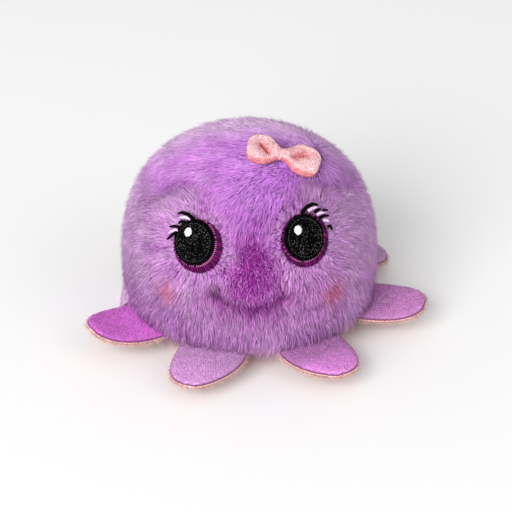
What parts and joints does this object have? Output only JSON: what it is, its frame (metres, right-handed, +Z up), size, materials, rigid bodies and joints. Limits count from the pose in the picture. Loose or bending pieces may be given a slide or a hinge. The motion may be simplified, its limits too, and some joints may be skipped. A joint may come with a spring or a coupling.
{
  "type": "plush octopus",
  "caption": "Ball-shaped plush octopus with a soft fur cover, stitched eyes, a small bow and short two-layer cloth tentacles that fold at the base seam.",
  "frame": {"origin": "centre of the flat foot of the base panel, on the surface that the toy stands on", "axes": "+Z up out of the crown, -Y the way the face looks, +X to the right of someone who faces the toy"},
  "size_m": [0.1148, 0.1212, 0.0733],
  "materials": {
    "fur": "long soft pile, lilac",
    "top_cloth": "short-pile velour, purple",
    "base_cloth": "short-pile velour, salmon pink",
    "iris_thread": "satin stitch, dark purple",
    "black_thread": "dense stitching with a faint sparkle",
    "white_thread": "satin stitch, white",
    "mouth_thread": "stitched line, dark purple",
    "bow_cloth": "velour, salmon pink",
    "bow_thread": "sewing thread",
    "filling": "polyester fibre",
    "pouch_cloth": "woven bag of plastic pellets"
  },
  "bodies": {
    "body": {"crown_panel": "fur", "left_cheek_panel": "fur", "right_cheek_panel": "fur", "left_back_panel": "fur", "right_back_panel": "fur", "base_panel": "base_cloth", "seam_band": "base_cloth", "stuffing": "filling", "pellet_pouch": "pouch_cloth", "left_iris": "iris_thread", "left_pupil": "black_thread", "left_glint": "white_thread", "left_lashes": "black_thread", "right_iris": "iris_thread", "right_pupil": "black_thread", "right_glint": "white_thread", "right_lashes": "black_thread", "mouth_thread": "mouth_thread", "bow": "bow_cloth", "bow_stitch": "bow_thread"},
    "tentacle_1": {"tentacle_1_top": "top_cloth", "tentacle_1_underside": "base_cloth"},
    "tentacle_2": {"tentacle_2_top": "top_cloth", "tentacle_2_underside": "base_cloth"},
    "tentacle_3": {"tentacle_3_top": "top_cloth", "tentacle_3_underside": "base_cloth"},
    "tentacle_4": {"tentacle_4_top": "top_cloth", "tentacle_4_underside": "base_cloth"},
    "tentacle_5": {"tentacle_5_top": "top_cloth", "tentacle_5_underside": "base_cloth"},
    "tentacle_6": {"tentacle_6_top": "top_cloth", "tentacle_6_underside": "base_cloth"},
    "tentacle_7": {"tentacle_7_top": "top_cloth", "tentacle_7_underside": "base_cloth"},
    "tentacle_8": {"tentacle_8_top": "top_cloth", "tentacle_8_underside": "base_cloth"}
  },
  "joints": [
    {"name": "tentacle_1_fold", "type": "hinge", "parent": "body", "child": "tentacle_1", "pos_m": [-0.03517, -0.02198, 0.0075], "axis": [-0.5299, 0.848, 0], "range_deg": [-25, 35], "stiffness_Nm_per_rad": 0.02},
    {"name": "tentacle_2_fold", "type": "hinge", "parent": "body", "child": "tentacle_2", "pos_m": [-0.01178, -0.03977, 0.0075], "axis": [-0.9588, 0.284, 0], "range_deg": [-14, 42], "stiffness_Nm_per_rad": 0.02},
    {"name": "tentacle_3_fold", "type": "hinge", "parent": "body", "child": "tentacle_3", "pos_m": [0.02011, -0.03628, 0.0075], "axis": [-0.8746, -0.4848, 0], "range_deg": [-16, 40], "stiffness_Nm_per_rad": 0.02},
    {"name": "tentacle_4_fold", "type": "hinge", "parent": "body", "child": "tentacle_4", "pos_m": [0.04041, -0.00933, 0.0075], "axis": [-0.225, -0.9744, 0], "range_deg": [-21, 38], "stiffness_Nm_per_rad": 0.02},
    {"name": "tentacle_5_fold", "type": "hinge", "parent": "body", "child": "tentacle_5", "pos_m": [0.03479, 0.02259, 0.0075], "axis": [0.5446, -0.8387, 0], "range_deg": [-10, 45], "stiffness_Nm_per_rad": 0.02},
    {"name": "tentacle_6_fold", "type": "hinge", "parent": "body", "child": "tentacle_6", "pos_m": [0.00791, 0.04072, 0.0075], "axis": [0.9816, -0.1908, 0], "range_deg": [-13, 45], "stiffness_Nm_per_rad": 0.02},
    {"name": "tentacle_7_fold", "type": "hinge", "parent": "body", "child": "tentacle_7", "pos_m": [-0.02496, 0.03313, 0.0075], "axis": [0.7986, 0.6018, 0], "range_deg": [-11, 45], "stiffness_Nm_per_rad": 0.02},
    {"name": "tentacle_8_fold", "type": "hinge", "parent": "body", "child": "tentacle_8", "pos_m": [-0.04147, 0.00072, 0.0075], "axis": [0.0175, 0.9998, 0], "range_deg": [0, 55], "stiffness_Nm_per_rad": 0.02}
  ]
}
